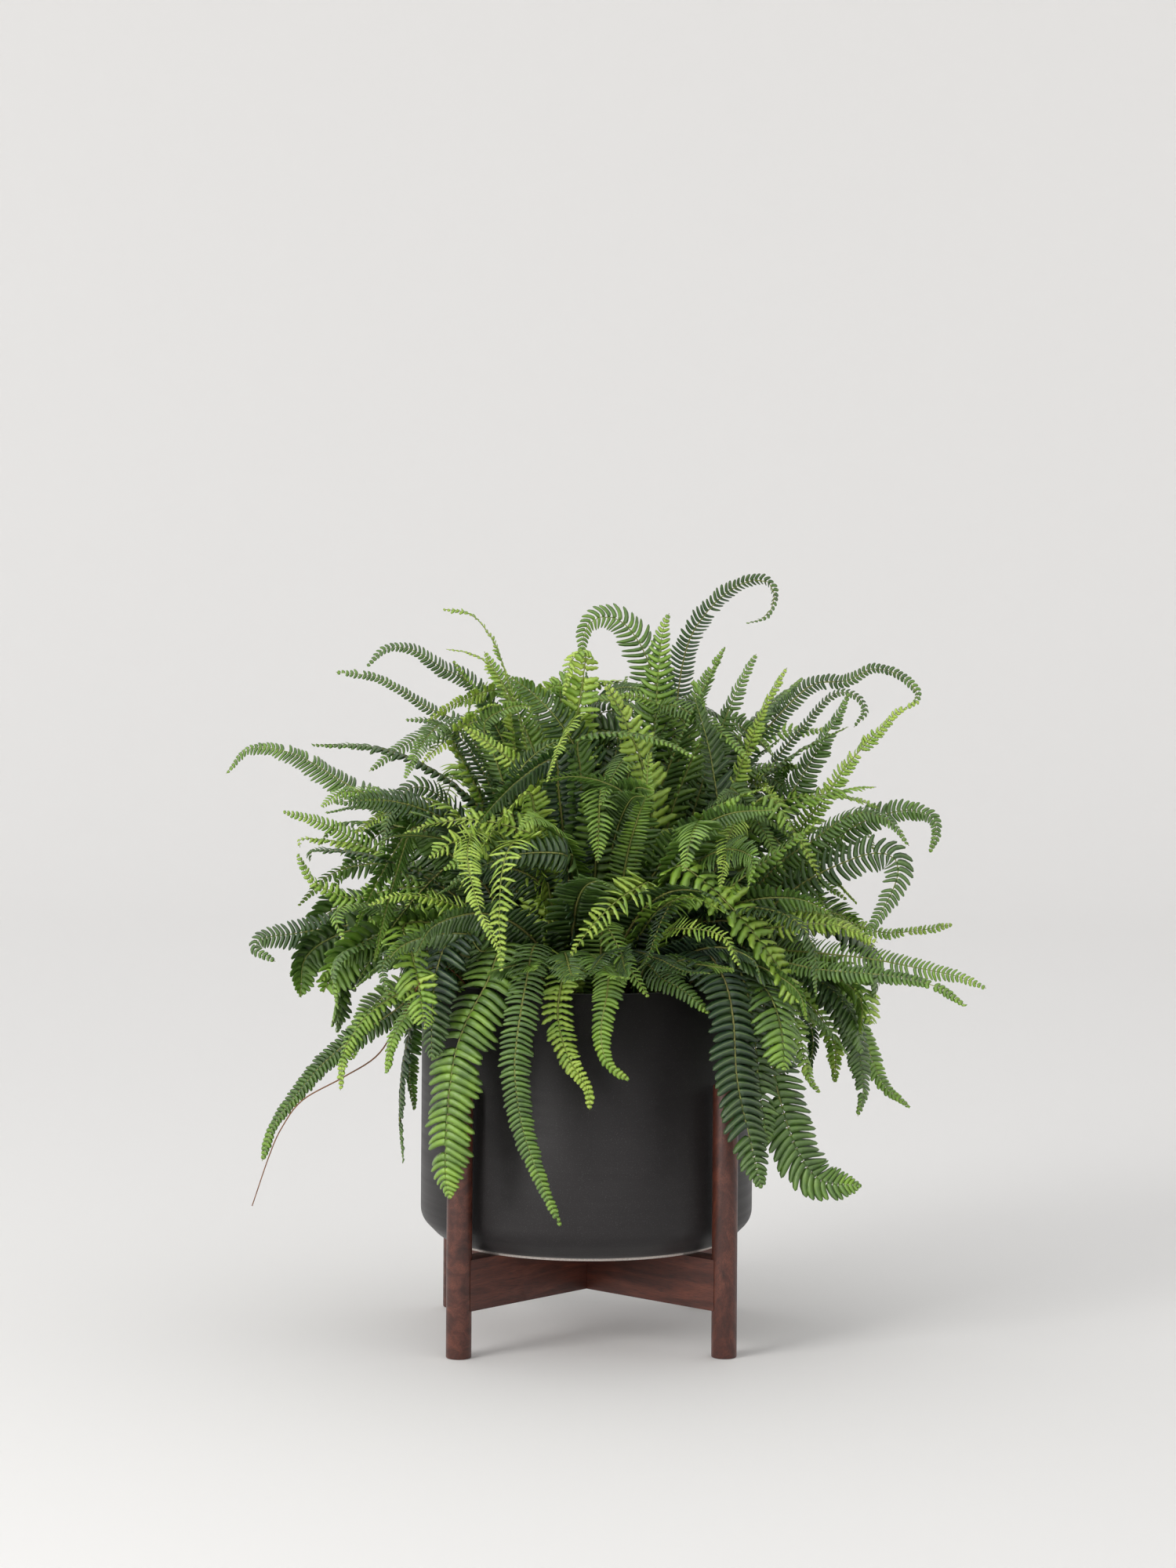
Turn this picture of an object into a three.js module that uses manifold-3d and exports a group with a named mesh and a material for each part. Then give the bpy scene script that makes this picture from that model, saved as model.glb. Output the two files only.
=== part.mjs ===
// A Boston fern growing in a matt black cylinder planter, which rests in a walnut stand with four round legs.
// Millimetres, +Z up. The origin is on the floor, under the middle of the stand. -Y is the front.
import * as THREE from "three";
import { mergeVertices } from "three/addons/utils/BufferGeometryUtils.js";
import Module from "manifold-3d";

// ---- driving dimensions ----
const GAP = 0.3; // between pieces that touch

const LEG_DIAMETER = 19;
const LEG_HEIGHT = 203;
const LEG_CIRCLE_RADIUS = 139.7; // from the middle of the stand to a leg's axis
const LEG_EDGE = 1.2; // chamfer on a leg's ends

const RAIL_BOTTOM = 35; // above the floor
const RAIL_HEIGHT = 38;
const RAIL_THICKNESS = 19;
const DOWEL_DIAMETER = 9.5;
const DOWEL_DEPTH = 12; // into the leg, and the same into the rail
const STAND_TURN = 2.6; // degrees, from square to the front

const PLANTER_DIAMETER = 254;
const PLANTER_HEIGHT = 200;
const PLANTER_WALL = 8;
const PLANTER_FLOOR = 9;
const PLANTER_CHAMFER = 15; // at the bottom corner, both ways
const CORNER_SOFTNESS = 6; // how far the chamfer's two ends are rounded
const LIP_RADIUS = 2.5;
const FOOT_HEIGHT = 1.8; // bare clay ring under the glaze
const FOOT_WIDTH = 12;

const SOIL_BELOW_RIM = 28;
const CROWN_RADIUS = 92;
const CROWN_HEIGHT = 16;

const STIPE_SHARE = 0.16; // bare stalk, as a share of a frond's length
const STIPE_HALF = 1.3; // half the stalk's width
const RACHIS_THICKNESS = 2.4; // at the stalk
const TIP_THICKNESS = 0.9;
const TOOTH_PITCH = 26; // each tooth of the blade stands for a few leaflets
const NOTCH = 0.55; // the blade's width between two teeth, as a share of its full width
const FULLNESS = 0.8; // the solid blade's width, as a share of the leafy frond's
const BLADE_SAG = 0.14; // how far a blade's edges hang below its midrib, as a share of its half width

const RUNNER_RADIUS = 1;

const ROUND = 48; // sides of a large round
const ROUND_SMALL = 24;

// ---- materials ----
const paint = (color, roughness) => new THREE.MeshStandardMaterial({ color, roughness, metalness: 0 });
const WALNUT = paint(0x3f251b, 0.45);
const BEECH = paint(0xc9a877, 0.7);
const GLAZE = paint(0x29272a, 0.5);
const SOIL = paint(0x2c2119, 0.95);
const RHIZOME = paint(0x4f3f2a, 0.9);
const RUNNER = paint(0x7d5a3c, 0.7);
const FROND_YOUNG = new THREE.Color(0x8fbf35);
const FROND_OLD = new THREE.Color(0x24512f);

// ---- solids: manifold-3d cuts, three.js shapes ----
const wasm = await Module();
wasm.setup();

function solidFrom(geometry) {
  const bare = geometry.clone();
  bare.deleteAttribute("normal");
  bare.deleteAttribute("uv");
  const merged = mergeVertices(bare, 1e-4);
  return new wasm.Manifold(
    new wasm.Mesh({
      numProp: 3,
      vertProperties: new Float32Array(merged.getAttribute("position").array),
      triVerts: new Uint32Array(merged.index.array),
    }),
  );
}

function geometryFrom(solid) {
  const mesh = solid.getMesh();
  const geometry = new THREE.BufferGeometry();
  geometry.setAttribute("position", new THREE.BufferAttribute(mesh.vertProperties, 3));
  geometry.setIndex(new THREE.BufferAttribute(mesh.triVerts, 1));
  geometry.computeVertexNormals();
  return geometry;
}

// A lathe about +Z. The outline is a closed loop of [radius, height], or starts and ends on the axis.
function turned(outline, sides) {
  const points = outline.map(([radius, height]) => new THREE.Vector2(radius, height));
  const geometry = new THREE.LatheGeometry(points, sides);
  geometry.rotateX(Math.PI / 2);
  return geometry;
}

function rod(radius, length, sides = ROUND_SMALL) {
  return new THREE.CylinderGeometry(radius, radius, length, sides).rotateX(Math.PI / 2);
}

function piece(name, geometry, material) {
  const mesh = new THREE.Mesh(geometry, material);
  mesh.name = name;
  return mesh;
}

const radians = THREE.MathUtils.degToRad;

// ---- stand: four legs on the ends of two halved rails ----
const CORNERS = { back_right: 45, back_left: 135, front_left: 225, front_right: 315 };
const RAIL_TOP = RAIL_BOTTOM + RAIL_HEIGHT;
const LEG_FACE = LEG_CIRCLE_RADIUS - LEG_DIAMETER / 2; // a leg's inner side, from the middle of the stand

// A dowel along +X, half of it in a leg and half in a rail's end.
function dowelShape(clearance) {
  const pin = rod(DOWEL_DIAMETER / 2 + clearance, 2 * (DOWEL_DEPTH + clearance), 16);
  return pin.rotateX(Math.PI / 2).rotateZ(Math.PI / 2).translate(LEG_FACE, 0, RAIL_BOTTOM + RAIL_HEIGHT / 2);
}

// A leg standing on +X, with its dowel's blind hole towards the middle.
function legShape() {
  const radius = LEG_DIAMETER / 2;
  const outline = [
    [0, 0],
    [radius - LEG_EDGE, 0],
    [radius, LEG_EDGE],
    [radius, LEG_HEIGHT - LEG_EDGE],
    [radius - LEG_EDGE, LEG_HEIGHT],
    [0, LEG_HEIGHT],
  ];
  const post = solidFrom(turned(outline, ROUND_SMALL).translate(LEG_CIRCLE_RADIUS, 0, 0));
  return geometryFrom(post.subtract(solidFrom(dowelShape(GAP))));
}

// A rail along X, halved at the middle, its ends hollowed to the legs' round.
function railShape(halvedFromAbove) {
  const bar = new THREE.BoxGeometry(2 * LEG_CIRCLE_RADIUS, RAIL_THICKNESS, RAIL_HEIGHT);
  const slot = new THREE.BoxGeometry(RAIL_THICKNESS + 2 * GAP, 2 * RAIL_THICKNESS, RAIL_HEIGHT);
  slot.translate(0, 0, halvedFromAbove ? RAIL_HEIGHT / 2 - GAP : -RAIL_HEIGHT / 2);
  let solid = solidFrom(bar).subtract(solidFrom(slot)).translate([0, 0, RAIL_BOTTOM + RAIL_HEIGHT / 2]);
  for (const end of [0, Math.PI]) {
    const cope = rod(LEG_DIAMETER / 2 + GAP, 2 * LEG_HEIGHT).translate(LEG_CIRCLE_RADIUS, 0, 0).rotateZ(end);
    solid = solid.subtract(solidFrom(cope)).subtract(solidFrom(dowelShape(GAP).rotateZ(end)));
  }
  const pieces = solid.decompose().sort((a, b) => b.volume() - a.volume());
  return geometryFrom(pieces[0]);
}

function makeStand() {
  const stand = new THREE.Group();
  for (const [corner, azimuth] of Object.entries(CORNERS)) {
    const leg = piece(`leg_${corner}`, legShape(), WALNUT);
    const dowel = piece(`dowel_${corner}`, dowelShape(0), BEECH);
    leg.rotation.z = radians(azimuth);
    dowel.rotation.z = radians(azimuth);
    stand.add(leg, dowel);
  }
  const lower = piece("rail_lower", railShape(true), WALNUT);
  lower.rotation.z = radians(CORNERS.back_right);
  const upper = piece("rail_upper", railShape(false), WALNUT);
  upper.rotation.z = radians(CORNERS.back_left);
  stand.add(lower, upper);
  stand.rotation.z = radians(STAND_TURN);
  return stand;
}

// ---- planter and soil ----
const PLANTER_BOTTOM = RAIL_TOP;
const RIM = PLANTER_BOTTOM + PLANTER_HEIGHT;
const INNER_RADIUS = PLANTER_DIAMETER / 2 - PLANTER_WALL;
const INNER_CORNER = 12;
const FLOOR_TOP = PLANTER_BOTTOM + PLANTER_FLOOR;
const SOIL_TOP = RIM - SOIL_BELOW_RIM;

// Points of an arc in a lathe outline.
function arc(centreRadius, centreHeight, radius, fromDegrees, toDegrees, steps) {
  return Array.from({ length: steps + 1 }, (_, i) => {
    const angle = radians(THREE.MathUtils.lerp(fromDegrees, toDegrees, i / steps));
    return [centreRadius + radius * Math.cos(angle), centreHeight + radius * Math.sin(angle)];
  });
}

// A corner of a lathe outline, rounded from a little before it to a little after it.
function softened(before, corner, after) {
  const [from, at, to] = [before, corner, after].map(([radius, height]) => new THREE.Vector2(radius, height));
  const start = at.clone().lerp(from, CORNER_SOFTNESS / at.distanceTo(from));
  const end = at.clone().lerp(to, CORNER_SOFTNESS / at.distanceTo(to));
  return new THREE.QuadraticBezierCurve(start, at, end).getPoints(3).map((p) => [p.x, p.y]);
}

function makePlanter() {
  const outer = PLANTER_DIAMETER / 2;
  const corner = outer - PLANTER_CHAMFER;
  const glaze = PLANTER_BOTTOM + FOOT_HEIGHT;
  const [under, low, high, side] = [[0, glaze], [corner, glaze], [outer, glaze + PLANTER_CHAMFER], [outer, RIM]];
  const footOuter = corner - CORNER_SOFTNESS;
  const outline = [
    [0, glaze],
    [footOuter - FOOT_WIDTH, glaze],
    [footOuter - FOOT_WIDTH, PLANTER_BOTTOM],
    [footOuter, PLANTER_BOTTOM],
    ...softened(under, low, high),
    ...softened(low, high, side),
    ...arc(outer - LIP_RADIUS, RIM - LIP_RADIUS, LIP_RADIUS, 0, 90, 3),
    ...arc(INNER_RADIUS + LIP_RADIUS, RIM - LIP_RADIUS, LIP_RADIUS, 90, 180, 3),
    ...arc(INNER_RADIUS - INNER_CORNER, FLOOR_TOP + INNER_CORNER, INNER_CORNER, 0, -90, 4),
    [0, FLOOR_TOP],
  ];
  return piece("planter", turned(outline, ROUND), GLAZE);
}

function makeSoil() {
  const radius = INNER_RADIUS - GAP;
  const bottom = FLOOR_TOP + GAP;
  const outline = [
    [0, bottom],
    ...arc(radius - INNER_CORNER, bottom + INNER_CORNER, INNER_CORNER, -90, 0, 4),
    [radius, SOIL_TOP],
    [0, SOIL_TOP],
  ];
  return piece("soil", turned(outline, ROUND), SOIL);
}

// ---- the fern ----
const CROWN_BOTTOM = SOIL_TOP + GAP;
const CROWN_ARC_STEPS = 8;

// The low mound that the stalks leave. Its height at a distance from the middle.
const crownRise = (radius) => CROWN_HEIGHT * Math.sqrt(1 - (radius / CROWN_RADIUS) ** 2);

function makeCrown() {
  const outline = [[0, CROWN_BOTTOM]];
  for (let i = 0; i < CROWN_ARC_STEPS; i++) {
    const radius = CROWN_RADIUS * Math.cos(radians((90 * i) / CROWN_ARC_STEPS));
    outline.push([radius, CROWN_BOTTOM + crownRise(radius)]);
  }
  outline.push([0, CROWN_BOTTOM + CROWN_HEIGHT]);
  return piece("rhizome_crown", turned(outline, ROUND), RHIZOME);
}

// Every frond: its name, age from 0, young, to 1, old, leafy width, roll of the blade at its base and further roll
// by its tip in degrees, and the points its midrib passes through after its root, in millimetres. The root is on
// the crown, in the direction of the first two numbers.
const FRONDS = [
  ["left_long", 0.5, 32, -35, -10, [-52, 22], [-92, 40, 335], [-140, 60, 388], [-188, 75, 412], [-232, 85, 436], [-268, 92, 440], [-287, 95, 420]],
  ["upper_left_a", 0.8, 26, -40, -20, [-34, 12], [-50, 12, 390], [-80, 5, 483], [-115, 0, 509], [-139, 0, 523], [-158, 0, 522], [-171, 0, 509]],
  ["upper_left_b", 0.7, 20, -30, -20, [-44, 34], [-66, 45, 380], [-93, 55, 454], [-129, 60, 476], [-165, 64, 497], [-199, 66, 502]],
  ["top_left_young", 0.1, 20, -30, -30, [-18, -4], [-44, -25, 430], [-67, -30, 514], [-79, -30, 538], [-92, -30, 551], [-112, -30, 554]],
  ["top_curl_young", 0.1, 44, 0, 10, [-6, -30], [-14, -55, 420], [-5, -78, 505], [-4, -92, 525], [-14, -104, 518], [-20, -110, 492]],
  ["top_arch", 0.5, 48, 80, 10, [24, 30], [50, 38, 370], [60, 40, 445], [47, 36, 508], [29, 32, 540], [12, 28, 548], [-3, 24, 540], [-7, 22, 513]],
  ["top_upright", 0.3, 52, 110, 0, [16, -2], [38, -12, 370], [48, -20, 450], [52, -24, 505], [55, -24, 538], [60, -24, 552]],
  ["top_right_curl", 0.9, 30, 60, 60, [36, 8], [62, 14, 440], [73, 14, 520], [91, 12, 554], [115, 10, 574], [135, 8, 577], [142, 6, 565], [135, 4, 549], [120, 2, 544]],
  ["right_curl", 0.8, 24, 50, 30, [54, 24], [102, 36, 405], [163, 34, 489], [199, 30, 499], [218, 28, 509], [236, 26, 506], [250, 24, 496], [254, 22, 488], [248, 20, 481]],
  ["right_rising", 0.15, 26, 40, 20, [62, -2], [136, -18, 355], [180, -25, 413], [195, -28, 436], [216, -30, 460], [234, -30, 478], [250, -30, 486]],
  ["right_mid", 0.6, 36, 60, 10, [66, 14], [140, 12, 335], [200, 2, 386], [234, -2, 400], [252, -4, 401], [264, -6, 395], [266, -8, 384], [261, -10, 370]],
  ["right_droop", 0.7, 38, 45, 40, [60, -34], [145, -75, 340], [198, -92, 372], [224, -98, 375], [230, -102, 362], [220, -106, 338], [204, -110, 314]],
  ["right_low_a", 0.2, 20, 45, 20, [74, 26], [130, 40, 298], [180, 45, 316], [226, 48, 303], [256, 50, 304], [284, 50, 309]],
  ["right_low_b", 0.4, 28, 45, 20, [76, -8], [116, -40, 294], [190, -98, 300], [248, -112, 292], [274, -117, 287], [294, -120, 279]],
  ["right_low_c", 0.5, 22, 40, 20, [74, -20], [104, -72, 297], [168, -136, 294], [222, -150, 291], [254, -155, 284], [275, -158, 271]],
  ["hang_right_a", 0.9, 44, 0, 0, [50, -52], [80, -100, 302], [98, -133, 290], [106, -150, 261], [109, -158, 217], [117, -162, 180], [127, -165, 138]],
  ["hang_right_b", 0.6, 48, 10, 0, [62, -40], [108, -80, 306], [126, -110, 282], [133, -126, 241], [140, -134, 204], [153, -138, 164], [171, -141, 140], [201, -143, 136]],
  ["hang_right_c", 0.25, 36, 15, 0, [70, -28], [120, -58, 300], [146, -78, 276], [158, -86, 238], [166, -90, 208], [173, -92, 197]],
  ["hang_right_d", 0.7, 38, 40, 0, [76, -16], [140, -34, 300], [186, -50, 262], [202, -56, 231], [208, -58, 195], [204, -60, 175]],
  ["hang_right_e", 0.4, 34, 40, 0, [80, 4], [142, 4, 298], [192, -4, 264], [212, -10, 225], [226, -14, 194], [246, -18, 176]],
  ["hang_front_a", 0.5, 30, 0, -10, [-24, -66], [-38, -114, 308], [-46, -156, 280], [-52, -176, 240], [-52, -182, 215], [-46, -187, 181], [-33, -192, 146], [-19, -196, 115]],
  ["hang_front_b", 0.1, 32, 0, -20, [-8, -72], [-14, -112, 298], [-22, -140, 262], [-14, -148, 230], [0, -152, 207], [2, -154, 192]],
  ["hang_front_c", 0.3, 30, 0, 20, [14, -74], [16, -112, 294], [14, -138, 274], [10, -146, 252], [12, -149, 232], [20, -151, 220], [30, -152, 214]],
  ["rim_front", 0.6, 28, 40, 0, [34, -68], [42, -104, 292], [54, -132, 286], [72, -142, 277], [88, -146, 263]],
  ["hang_left_a", 0.55, 50, 0, 0, [-40, -60], [-60, -104, 308], [-74, -132, 282], [-88, -144, 256], [-97, -150, 230], [-102, -154, 188], [-103, -156, 146], [-100, -156, 127]],
  ["hang_left_b", 0.9, 36, 20, 0, [-58, -46], [-96, -78, 306], [-124, -96, 265], [-136, -104, 222], [-139, -108, 180], [-136, -110, 146]],
  ["left_low_long", 0.6, 27, -50, -10, [-70, -30], [-112, -48, 288], [-140, -55, 256], [-174, -60, 233], [-199, -62, 212], [-218, -64, 190], [-236, -65, 165], [-244, -66, 139]],
  ["left_low_a", 0.5, 34, -60, 0, [-60, -36], [-98, -70, 298], [-145, -88, 306], [-180, -94, 296], [-200, -98, 278]],
  ["left_low_b", 0.85, 38, -70, 0, [-74, -8], [-130, -14, 304], [-175, -18, 312], [-222, -22, 306], [-248, -24, 302], [-253, -26, 294], [-238, -28, 285]],
  ["left_low_young", 0.05, 28, -50, 0, [-42, -40], [-78, -106, 322], [-104, -128, 340], [-135, -136, 346], [-162, -140, 339]],
  ["left_mid", 0.3, 36, -60, 0, [-68, 8], [-122, 16, 330], [-166, 16, 364], [-200, 14, 385], [-235, 12, 396]],
  ["left_mid_curl", 0.25, 38, -60, 0, [-62, -18], [-106, -42, 332], [-140, -52, 344], [-178, -56, 336], [-207, -58, 349], [-219, -60, 369]],
  ["inner_left_young", 0.05, 34, 0, 0, [-24, -44], [-56, -88, 372], [-80, -134, 394], [-88, -178, 382], [-80, -218, 350], [-63, -243, 316]],
  ["inner_left_dark", 1.0, 48, -60, 0, [-22, -28], [-26, -72, 370], [-44, -90, 410], [-74, -96, 430], [-106, -98, 431]],
  ["inner_right", 0.4, 50, 0, 0, [48, -20], [66, -72, 345], [76, -112, 384], [80, -150, 402], [74, -190, 396], [68, -216, 372]],
  ["inner_front_young", 0.1, 48, 0, 0, [24, -34], [46, -66, 370], [42, -82, 430], [26, -94, 474], [10, -102, 504]],
  ["back_long", 0.6, 40, 0, 0, [4, 60], [6, 112, 350], [8, 166, 374], [10, 212, 354], [10, 238, 304], [8, 243, 252]],
  ["back_left_a", 0.7, 42, 0, 0, [-32, 56], [-58, 105, 345], [-88, 155, 366], [-116, 188, 340], [-130, 202, 290], [-134, 206, 245]],
  ["back_right_a", 0.5, 42, 0, 0, [38, 52], [68, 100, 345], [100, 148, 364], [128, 182, 338], [144, 198, 290], [148, 202, 240]],
  ["back_rising", 0.3, 40, 0, 0, [-4, 40], [-10, 80, 400], [-18, 116, 470], [-28, 150, 490], [-36, 180, 478]],
  ["back_hang_a", 0.8, 44, 0, 0, [-18, 74], [-30, 112, 300], [-42, 142, 280], [-50, 154, 235], [-52, 158, 190], [-48, 160, 145]],
  ["back_hang_b", 0.6, 44, 0, 0, [26, 72], [42, 112, 300], [56, 140, 278], [64, 152, 235], [66, 156, 190], [62, 158, 150]],
  ["back_hang_left", 0.6, 40, 0, 0, [-60, 50], [-96, 84, 304], [-124, 108, 276], [-138, 120, 230], [-142, 124, 185], [-138, 126, 150]],
  ["back_hang_right", 0.7, 40, 0, 0, [64, 44], [104, 74, 304], [134, 96, 276], [150, 108, 230], [154, 112, 185], [150, 114, 150]],
  ["left_back_low", 0.6, 36, -20, 0, [-76, 26], [-128, 50, 300], [-170, 70, 306], [-212, 86, 290], [-236, 94, 262]],
  ["right_back_low", 0.6, 36, 20, 0, [72, 46], [118, 96, 312], [150, 128, 322], [190, 152, 308], [218, 166, 280]],
];

// The runner's path, in the same way.
const RUNNER_PATH = [
  [-74, -42],
  [-112, -66, 288],
  [-140, -75, 248],
  [-157, -77, 221],
  [-183, -78, 204],
  [-213, -79, 187],
  [-228, -80, 167],
  [-237, -81, 147],
  [-250, -82, 108],
];

// A curve from a root on the crown.
function growthCurve([[rootX, rootY], ...points]) {
  const root = new THREE.Vector3(rootX, rootY, CROWN_BOTTOM + crownRise(Math.hypot(rootX, rootY)) + 2 * GAP);
  const path = [root, ...points.map(([x, y, z]) => new THREE.Vector3(x, y, z))];
  return new THREE.CatmullRomCurve3(path, false, "catmullrom", 0.5);
}

function makeRunner() {
  const outline = new THREE.Shape().absarc(0, 0, RUNNER_RADIUS, 0, 2 * Math.PI);
  const extrudePath = growthCurve(RUNNER_PATH);
  const settings = { steps: 40, curveSegments: 6, bevelEnabled: false, extrudePath };
  return piece("runner", new THREE.ExtrudeGeometry(outline, settings), RUNNER);
}

// ---- frond solids ----

// Half the leafy width at a share of the blade.
function bladeHalf(share, width) {
  const base = 0.5 + 0.5 * THREE.MathUtils.smoothstep(share, 0, 0.2);
  return (width / 2) * base * (1 - share ** 3) ** 0.7;
}

// Stations of the solid, each a share of the frond's length and its half width there.
function frondStations(length, width) {
  const teeth = Math.max(4, Math.round((length * (1 - STIPE_SHARE)) / TOOTH_PITCH));
  const stations = [[0, STIPE_HALF], [STIPE_SHARE / 2, STIPE_HALF], [STIPE_SHARE * 0.98, STIPE_HALF]];
  for (let i = 0; i < teeth; i++) {
    for (const [within, wide] of [[0, NOTCH], [0.75, 1]]) {
      const share = (i + within) / teeth;
      const half = Math.max(STIPE_HALF, bladeHalf(share, width) * wide * FULLNESS);
      stations.push([THREE.MathUtils.lerp(STIPE_SHARE, 1, share), half]);
    }
  }
  stations.push([1, STIPE_HALF / 2]);
  return stations;
}

// One closed solid: a ring of four points at each station, right edge, top, left edge, underside.
function frondShape(frond, grown = 0) {
  const [, , width, roll, twist, ...path] = frond;
  const curve = growthCurve(path);
  const positions = [];
  let along = curve.getTangentAt(0);
  let side = new THREE.Vector3(0, 0, 1).cross(along).normalize();
  const stations = frondStations(curve.getLength(), width);
  for (const [share, half] of stations) {
    const next = curve.getTangentAt(share);
    side.applyQuaternion(new THREE.Quaternion().setFromUnitVectors(along, next));
    along = next;
    const across = side.clone().applyAxisAngle(along, radians(roll + twist * share));
    const up = along.clone().cross(across);
    const at = curve.getPointAt(share);
    const thick = THREE.MathUtils.lerp(RACHIS_THICKNESS, TIP_THICKNESS, share) / 2 + grown;
    const sag = half > STIPE_HALF ? half * BLADE_SAG : 0;
    for (const [x, y] of [[half + grown, -sag], [0, thick], [-half - grown, -sag], [0, -thick]]) {
      positions.push(...at.clone().addScaledVector(across, x).addScaledVector(up, y).toArray());
    }
  }
  const faces = [0, 2, 1, 0, 3, 2];
  for (let ring = 0; ring < 4 * (stations.length - 1); ring += 4) {
    for (let k = 0; k < 4; k++) {
      const [a, b] = [ring + k, ring + ((k + 1) % 4)];
      faces.push(a, b, a + 4, b, b + 4, a + 4);
    }
  }
  const last = 4 * (stations.length - 1);
  faces.push(last, last + 1, last + 2, last, last + 2, last + 3);
  const geometry = new THREE.BufferGeometry();
  geometry.setAttribute("position", new THREE.Float32BufferAttribute(positions, 3));
  geometry.setIndex(faces);
  return geometry;
}

// Where two fronds touch, the later one gives way to the earlier one.
function makeFronds() {
  const fronds = new THREE.Group();
  const placed = [];
  for (const frond of FRONDS) {
    let solid = solidFrom(frondShape(frond));
    for (const other of placed) solid = solid.subtract(other);
    const [largest] = solid.decompose().sort((a, b) => b.volume() - a.volume());
    placed.push(solidFrom(frondShape(frond, GAP)));
    const green = FROND_YOUNG.clone().lerp(FROND_OLD, frond[1]);
    fronds.add(piece(`frond_${frond[0]}`, geometryFrom(largest), paint(green, 0.5)));
  }
  return fronds;
}

const fern = new THREE.Group();
fern.add(makeStand(), makePlanter(), makeSoil(), makeCrown(), makeRunner(), makeFronds());

export default fern;
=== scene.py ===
"""A Boston fern in a matt black cylinder planter, standing in a walnut stand with four round legs.

Metres, +Z up, -Y to the front, the origin on the floor under the middle of the stand.
"""

import math
import random

import bmesh
import bpy
from mathutils import Matrix, Vector, noise


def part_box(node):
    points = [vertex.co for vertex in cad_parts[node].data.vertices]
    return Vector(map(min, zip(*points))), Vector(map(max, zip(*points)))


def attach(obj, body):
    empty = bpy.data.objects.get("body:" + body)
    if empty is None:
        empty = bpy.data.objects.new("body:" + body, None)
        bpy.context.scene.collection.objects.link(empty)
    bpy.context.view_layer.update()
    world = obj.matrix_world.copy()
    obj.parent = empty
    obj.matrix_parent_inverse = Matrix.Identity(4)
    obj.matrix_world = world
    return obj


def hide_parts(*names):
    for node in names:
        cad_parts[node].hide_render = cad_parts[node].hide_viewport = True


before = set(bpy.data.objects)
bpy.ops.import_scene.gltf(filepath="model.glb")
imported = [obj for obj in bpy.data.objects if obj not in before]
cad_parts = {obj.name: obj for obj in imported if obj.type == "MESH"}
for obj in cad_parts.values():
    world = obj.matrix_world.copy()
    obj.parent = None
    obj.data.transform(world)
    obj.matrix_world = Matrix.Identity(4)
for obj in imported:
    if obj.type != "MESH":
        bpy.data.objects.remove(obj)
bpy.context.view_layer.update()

MM = 0.001
JOINING = 1e-6  # corners nearer than this are one


# ---- materials ---------------------------------------------------------------------------------


class Finish:
    """A material under construction: its node tree, and short ways to add nodes to it."""

    def __init__(self, name, **surface):
        self.material = bpy.data.materials.new(name)
        self.material.use_nodes = True
        self.tree = self.material.node_tree
        self.shader = self.tree.nodes["Principled BSDF"]
        for socket, value in surface.items():
            self.shader.inputs[socket.replace("_", " ").title().replace("Ior", "IOR")].default_value = value

    def node(self, kind, inputs=None, **settings):
        node = self.tree.nodes.new("ShaderNode" + kind)
        for key, value in settings.items():
            setattr(node, key, value)
        for key, value in (inputs or {}).items():
            self.feed(node.inputs[key], value)
        return node

    def feed(self, socket, value):
        if isinstance(value, bpy.types.NodeSocket):
            self.tree.links.new(value, socket)
        else:
            socket.default_value = value

    def place(self, stretch=(1, 1, 1), turn=(0, 0, 0), of=None):
        """Object coordinates, or the ones given, stretched and turned."""
        coordinates = of or self.node("TexCoord").outputs["Object"]
        mapping = self.node("Mapping", {"Vector": coordinates, "Scale": stretch, "Rotation": turn})
        return mapping.outputs["Vector"]

    def noise(self, where, scale, detail=3.0, roughness=0.5, distortion=0.0):
        inputs = {"Vector": where, "Scale": scale, "Detail": detail, "Roughness": roughness}
        inputs["Distortion"] = distortion
        return self.node("TexNoise", inputs).outputs["Fac"]

    def ramp(self, factor, *stops):
        node = self.node("ValToRGB", {"Fac": factor})
        elements = node.color_ramp.elements
        while len(elements) < len(stops):
            elements.new(0.5)
        for element, (position, colour) in zip(elements, stops):
            element.position = position
            element.color = colour
        return node.outputs["Color"]

    def span(self, value, low, high, start=0.0, end=1.0):
        """A value from start..end, carried to low..high."""
        inputs = {"Value": value, "From Min": start, "From Max": end, "To Min": low, "To Max": high}
        return self.node("MapRange", inputs).outputs["Result"]

    def mix(self, factor, one, other):
        """A blend of two colours. A Mix node's colours are its inputs 6 and 7 and its output 2."""
        node = self.node("Mix", data_type="RGBA")
        for socket, value in ((node.inputs[0], factor), (node.inputs[6], one), (node.inputs[7], other)):
            self.feed(socket, value)
        return node.outputs[2]

    def math(self, operation, one, other=0.0):
        return self.node("Math", {0: one, 1: other}, operation=operation).outputs["Value"]

    def bump(self, height, strength, depth, under=None):
        inputs = {"Height": height, "Strength": strength, "Distance": depth}
        if under is not None:
            inputs["Normal"] = under
        return self.node("Bump", inputs).outputs["Normal"]

    def done(self, colour=None, rough=None, normal=None):
        for socket, value in (("Base Color", colour), ("Roughness", rough), ("Normal", normal)):
            if value is not None:
                self.feed(self.shader.inputs[socket], value)
        return self.material


def rgb(red, green, blue):
    """A colour as it looks on a screen, 0 to 255, as the linear opaque colour a shader takes."""
    linear = [((c / 255 + 0.055) / 1.055) ** 2.4 if c > 10 else c / 255 / 12.92 for c in (red, green, blue)]
    return (*linear, 1)


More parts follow.
